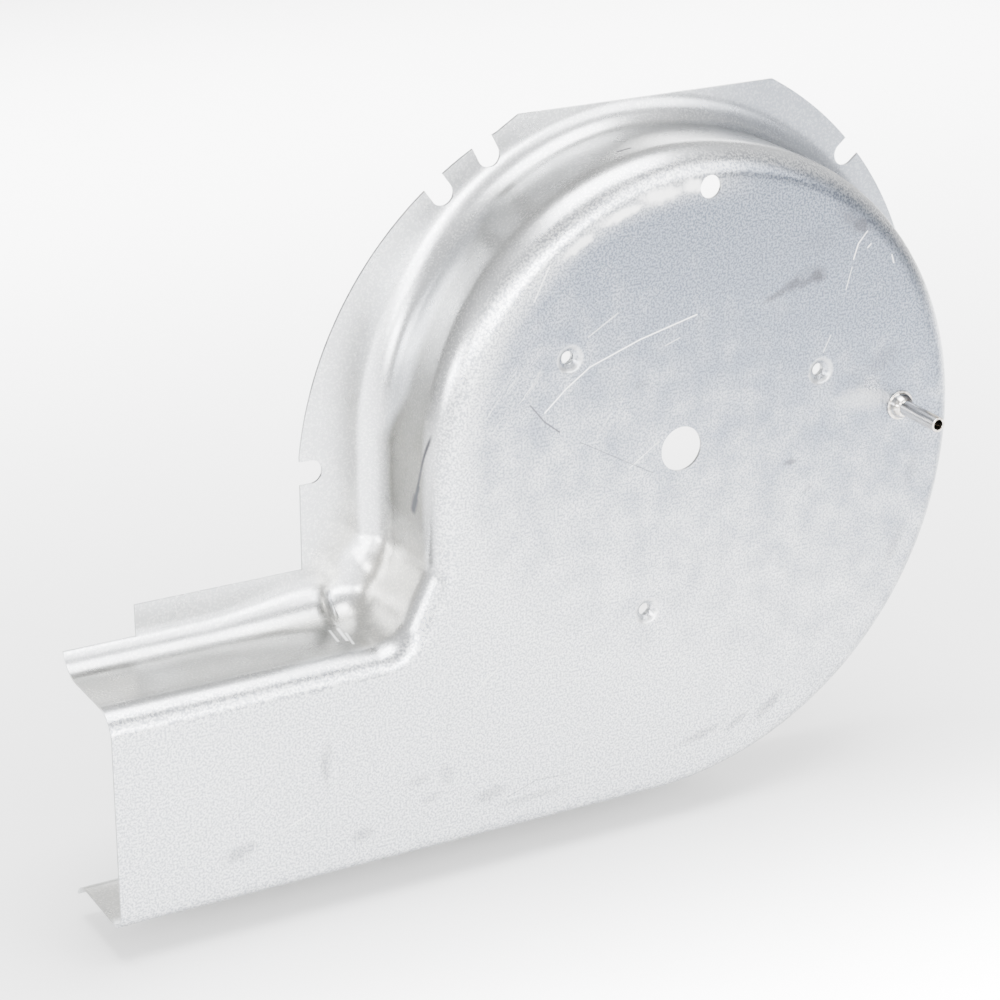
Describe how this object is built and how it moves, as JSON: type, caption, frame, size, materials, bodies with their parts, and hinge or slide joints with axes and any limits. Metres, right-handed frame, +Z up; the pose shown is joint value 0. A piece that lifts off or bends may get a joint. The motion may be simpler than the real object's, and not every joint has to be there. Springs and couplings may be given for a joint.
{
  "type": "blower housing",
  "caption": "Pressed sheet-steel blower scroll with a rolled-back mounting flange, an open straight outlet duct, countersunk motor holes and a staked hose tap.",
  "frame": {"origin": "centre of the shaft hole on the face's outer side", "axes": "+X away from the outlet, along the duct; +Y from the face back to the flange, along the shaft; +Z up, from the duct to the top of the scroll"},
  "size_m": [0.3591, 0.0695, 0.2745],
  "materials": {
    "galvanised_sheet": "zinc-coated sheet, satin, with fine grain, rub marks and smudges",
    "plated_tap": "bright nickel plate, a little worn"
  },
  "bodies": {
    "root": {"housing_shell": "galvanised_sheet", "pressure_tap": "plated_tap"}
  },
  "joints": []
}
